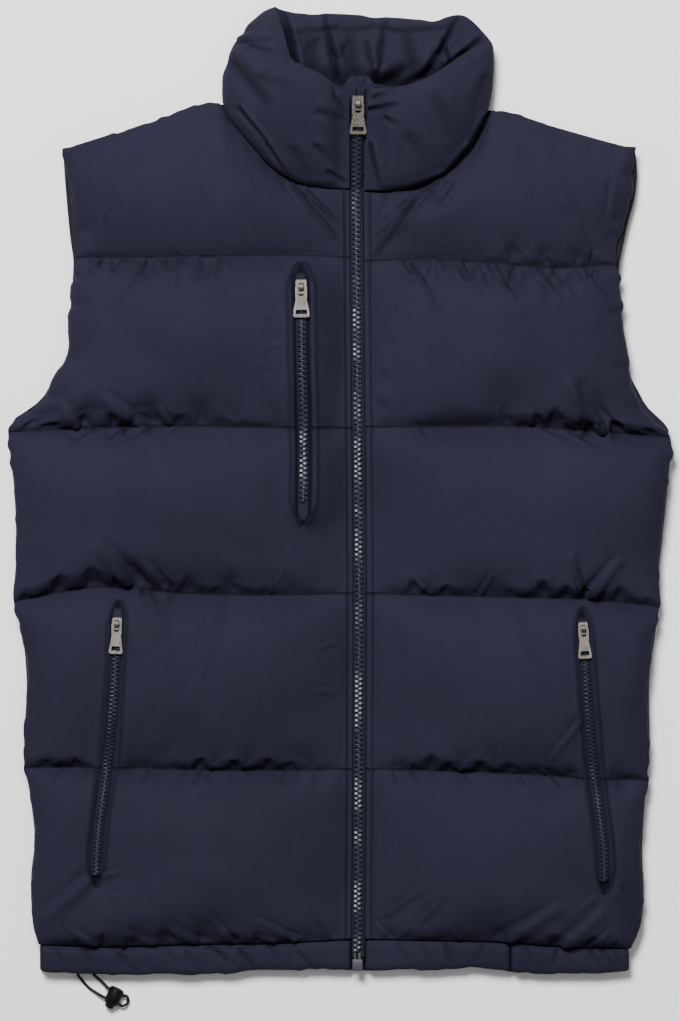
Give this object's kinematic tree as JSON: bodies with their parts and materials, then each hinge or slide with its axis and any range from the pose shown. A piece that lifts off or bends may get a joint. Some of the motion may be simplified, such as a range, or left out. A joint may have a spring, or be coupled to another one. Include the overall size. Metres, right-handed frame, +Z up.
{
  "type": "sleeveless down jacket (padded vest)",
  "caption": "Quilted, padded sleeveless jacket with a stand collar, laid flat with its front up, with zipped front and pockets and a hem drawcord.",
  "frame": {"origin": "middle of the vest's outline on the surface that it lies on", "axes": "+X to the wearer's left, +Y from the hem towards the collar, +Z up from the surface, out of the vest's front"},
  "size_m": [0.5682, 0.8646, 0.0528],
  "materials": {
    "shell": "smooth, close-woven navy shell cloth with a soft satin sheen, padded and quilted",
    "facing": "dull, near-black lining cloth",
    "zip_chain": "navy moulded teeth on woven tape",
    "zip_metal": "warm gunmetal plate, lightly worn at its edges",
    "zip_box": "grey moulded plastic",
    "drawcord": "black braided cord",
    "cord_lock": "black moulded plastic, satin"
  },
  "bodies": {
    "vest": {"back_panel": "shell", "front_right": "shell", "front_left": "shell", "collar": "shell", "storm_flap": "shell", "hem_back": "shell", "hem_front_right": "shell", "hem_front_left": "shell", "hem_side_left": "shell", "armhole_facing_right": "facing", "armhole_facing_left": "facing", "main_zip_right": "zip_chain", "main_zip_left": "zip_chain", "chest_zip": "zip_chain", "hand_zip_right": "zip_chain", "hand_zip_left": "zip_chain", "main_slider": "zip_metal", "chest_slider": "zip_metal", "hand_slider_right": "zip_metal", "hand_slider_left": "zip_metal", "main_zip_box": "zip_box", "drawcord_strand_long": "drawcord", "drawcord_strand_short": "drawcord", "drawcord_loop": "drawcord", "cord_lock_body": "cord_lock"},
    "main_pull_tab": {"main_pull": "zip_metal"},
    "chest_pull_tab": {"chest_pull": "zip_metal"},
    "hand_pull_tab_right": {"hand_pull_right": "zip_metal"},
    "hand_pull_tab_left": {"hand_pull_left": "zip_metal"},
    "lock_button": {"cord_lock_button": "cord_lock"}
  },
  "joints": [
    {"name": "main_pull_swing", "type": "hinge", "parent": "vest", "child": "main_pull_tab", "pos_m": [0.01547, 0.331, 0.04402], "axis": [-1, 0, 0], "range_deg": [0, 150]},
    {"name": "chest_pull_swing", "type": "hinge", "parent": "vest", "child": "chest_pull_tab", "pos_m": [-0.03327, 0.175, 0.03851], "axis": [-0.9999, -0.0112, 0], "range_deg": [0, 150]},
    {"name": "hand_pull_right_swing", "type": "hinge", "parent": "vest", "child": "hand_pull_tab_right", "pos_m": [-0.19071, -0.113, 0.03901], "axis": [-0.9993, 0.0381, 0], "range_deg": [0, 150]},
    {"name": "hand_pull_left_swing", "type": "hinge", "parent": "vest", "child": "hand_pull_tab_left", "pos_m": [0.20797, -0.117, 0.03928], "axis": [-0.9985, -0.0546, 0], "range_deg": [0, 150]},
    {"name": "lock_button_press", "type": "slide", "parent": "vest", "child": "lock_button", "axis": [0.4311, 0.9023, 0], "range_m": [0, 0.003], "stiffness_N_per_m": 250}
  ]
}
